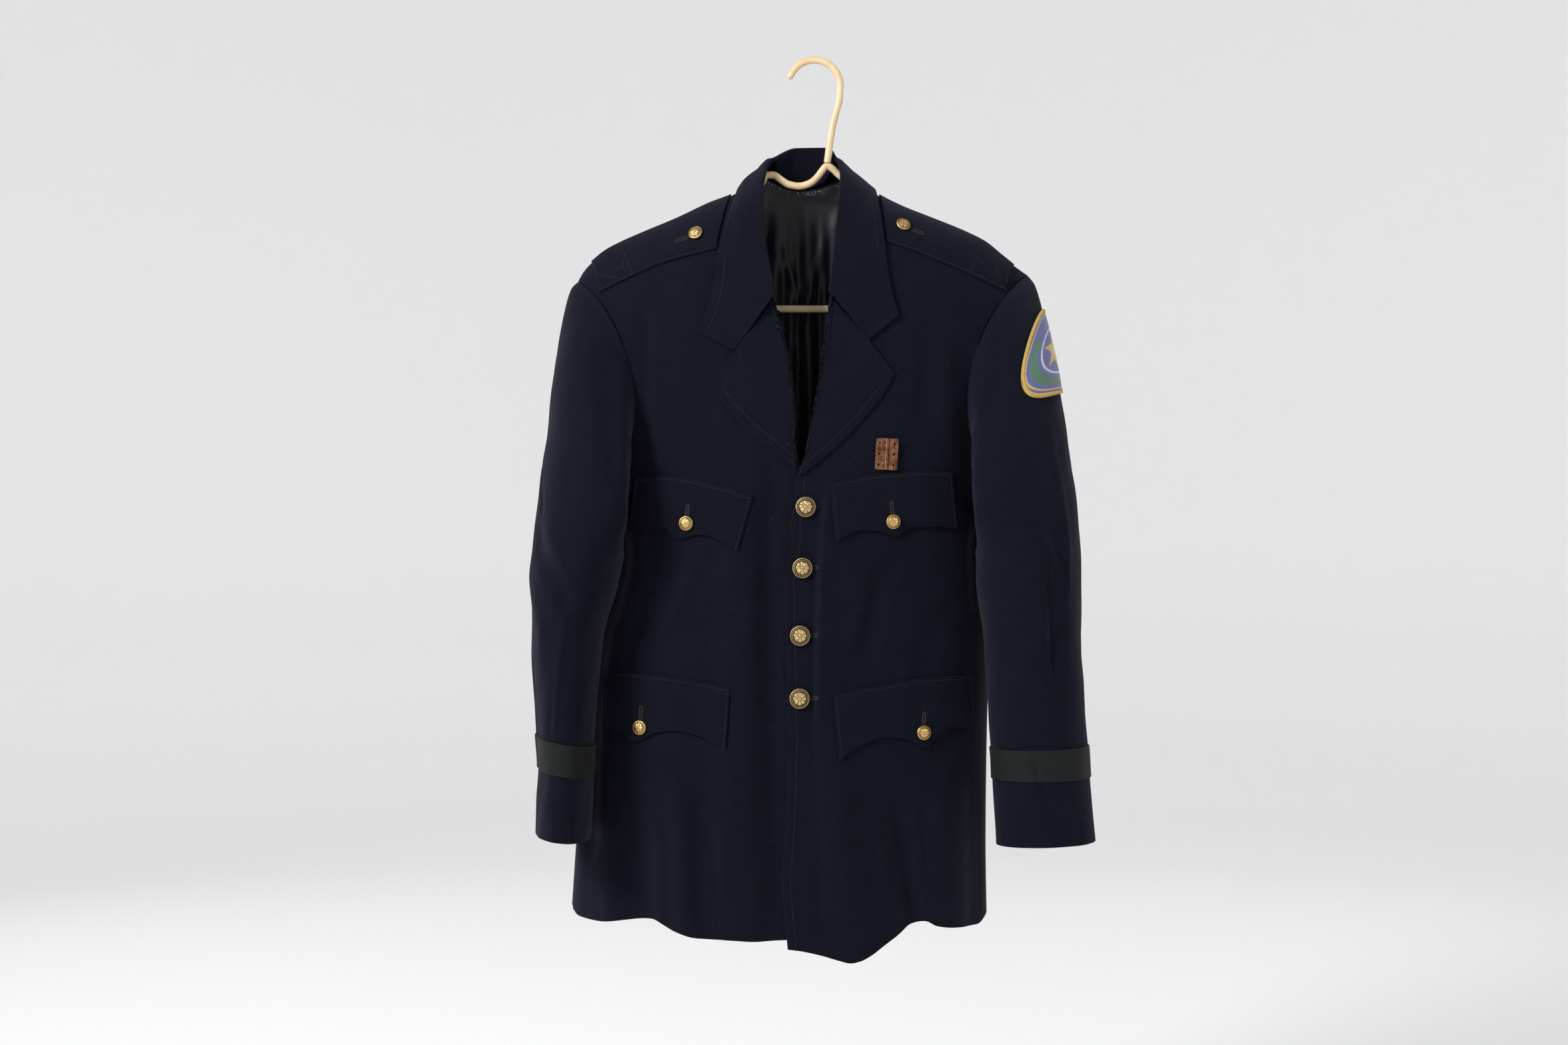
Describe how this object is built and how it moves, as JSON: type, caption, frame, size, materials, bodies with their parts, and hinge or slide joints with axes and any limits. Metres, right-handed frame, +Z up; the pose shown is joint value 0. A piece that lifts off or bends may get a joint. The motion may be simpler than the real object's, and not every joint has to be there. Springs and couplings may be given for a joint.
{
  "type": "police dress coat on a hanger",
  "caption": "Single-breasted navy police dress coat with notched lapels, scalloped pocket flaps, epaulettes and braided cuffs, hung on a tubular hanger.",
  "frame": {"origin": "inside of the hanger hook's bend, where it rests on the rail or hook that holds it up", "axes": "+X to the right of a viewer who faces the coat (the wearer's left), -Y out of the coat's front, +Z up"},
  "size_m": [0.6092, 0.176, 0.9954],
  "materials": {
    "navy_wool": "dark navy wool twill, matte",
    "lining": "black twill lining with a purple sheen",
    "braid": "black ribbed braid",
    "gilt": "gilt, polished",
    "antique_gilt": "gilt, darkened in its hollows",
    "copper": "brown copper, worn",
    "patch": "embroidered, with an overlocked border",
    "hanger_plastic": "tan, satin"
  },
  "bodies": {
    "root": {"back": "navy_wool", "back_lining": "lining", "badge_plate": "copper", "chest_flap_left": "navy_wool", "chest_flap_right": "navy_wool", "collar_fall": "navy_wool", "collar_stand": "navy_wool", "cuff_braid_left": "braid", "cuff_braid_right": "braid", "epaulette_button_left": "gilt", "epaulette_button_right": "gilt", "epaulette_left": "navy_wool", "epaulette_right": "navy_wool", "front_button_1": "antique_gilt", "front_button_2": "antique_gilt", "front_button_3": "antique_gilt", "front_button_4": "antique_gilt", "front_left": "navy_wool", "front_right": "navy_wool", "hanger_arms": "hanger_plastic", "hanger_bar": "hanger_plastic", "hanger_hook": "hanger_plastic", "hip_flap_left": "navy_wool", "hip_flap_right": "navy_wool", "lapel_left": "navy_wool", "lapel_right": "navy_wool", "pocket_button_1": "gilt", "pocket_button_2": "gilt", "pocket_button_3": "gilt", "pocket_button_4": "gilt", "shoulder_patch": "patch", "top_sleeve_left": "navy_wool", "top_sleeve_right": "navy_wool", "under_sleeve_left": "navy_wool", "under_sleeve_right": "navy_wool"}
  },
  "joints": []
}
